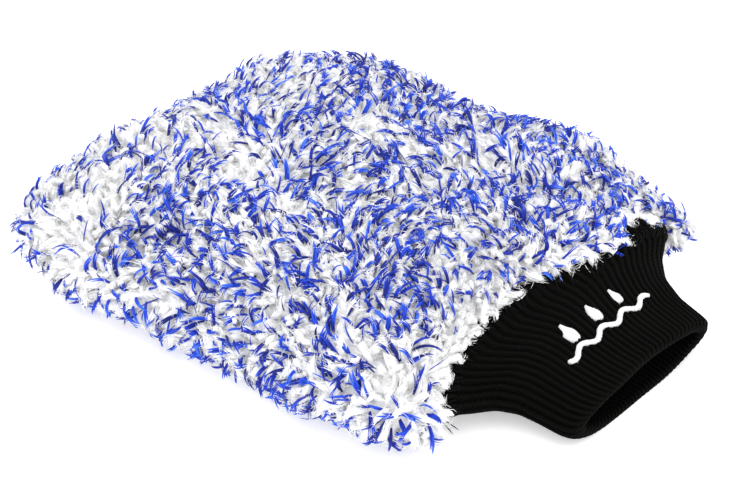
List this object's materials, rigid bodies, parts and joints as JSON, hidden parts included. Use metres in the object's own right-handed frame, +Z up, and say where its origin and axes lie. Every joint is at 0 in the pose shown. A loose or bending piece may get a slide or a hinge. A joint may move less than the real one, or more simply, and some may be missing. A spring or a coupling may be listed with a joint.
{
  "type": "wash mitt",
  "caption": "Double-sided plush wash mitt with a flat hand pocket inside and a flared, folded rib-knit wrist cuff.",
  "frame": {"origin": "middle of the footprint, on the surface that the mitt lies on", "axes": "+X out of the cuff's mouth, +Y across the pad, +Z up"},
  "size_m": [0.276, 0.22, 0.052],
  "materials": {
    "white_pile": "soft white microfibre plush",
    "blue_pile": "glossy royal blue filament tufts",
    "backing_knit": "plain white knit",
    "foam": "thin soft foam",
    "lining": "plain white lining cloth",
    "seam_thread": "white overlock thread",
    "cuff_thread": "black overlock thread",
    "rib_knit": "black rib knit, matt with a faint sheen",
    "embroidery_thread": "white satin-stitch thread"
  },
  "bodies": {
    "mitt": {"top_plush_pile": "white_pile", "bottom_plush_pile": "white_pile", "top_blue_tufts": "blue_pile", "bottom_blue_tufts": "blue_pile", "top_backing_knit": "backing_knit", "bottom_backing_knit": "backing_knit", "top_foam_interlining": "foam", "bottom_foam_interlining": "foam", "top_pocket_lining": "lining", "bottom_pocket_lining": "lining", "shell_edge_stitches": "seam_thread", "lining_edge_stitches": "seam_thread", "cuff_attachment_stitches": "cuff_thread", "cuff_flare_outer_ply": "rib_knit", "cuff_flare_inner_ply": "rib_knit"},
    "cuff": {"wrist_cuff_outer_ply": "rib_knit", "wrist_cuff_inner_ply": "rib_knit", "embroidered_droplets": "embroidery_thread", "embroidered_wave": "embroidery_thread"}
  },
  "joints": [
    {"name": "cuff_flex", "type": "hinge", "parent": "mitt", "child": "cuff", "pos_m": [0.0985, 0, 0.016], "axis": [0, -1, 0], "range_deg": [-45, 45], "deforming": ["cuff_flare_outer_ply", "cuff_flare_inner_ply"]}
  ]
}
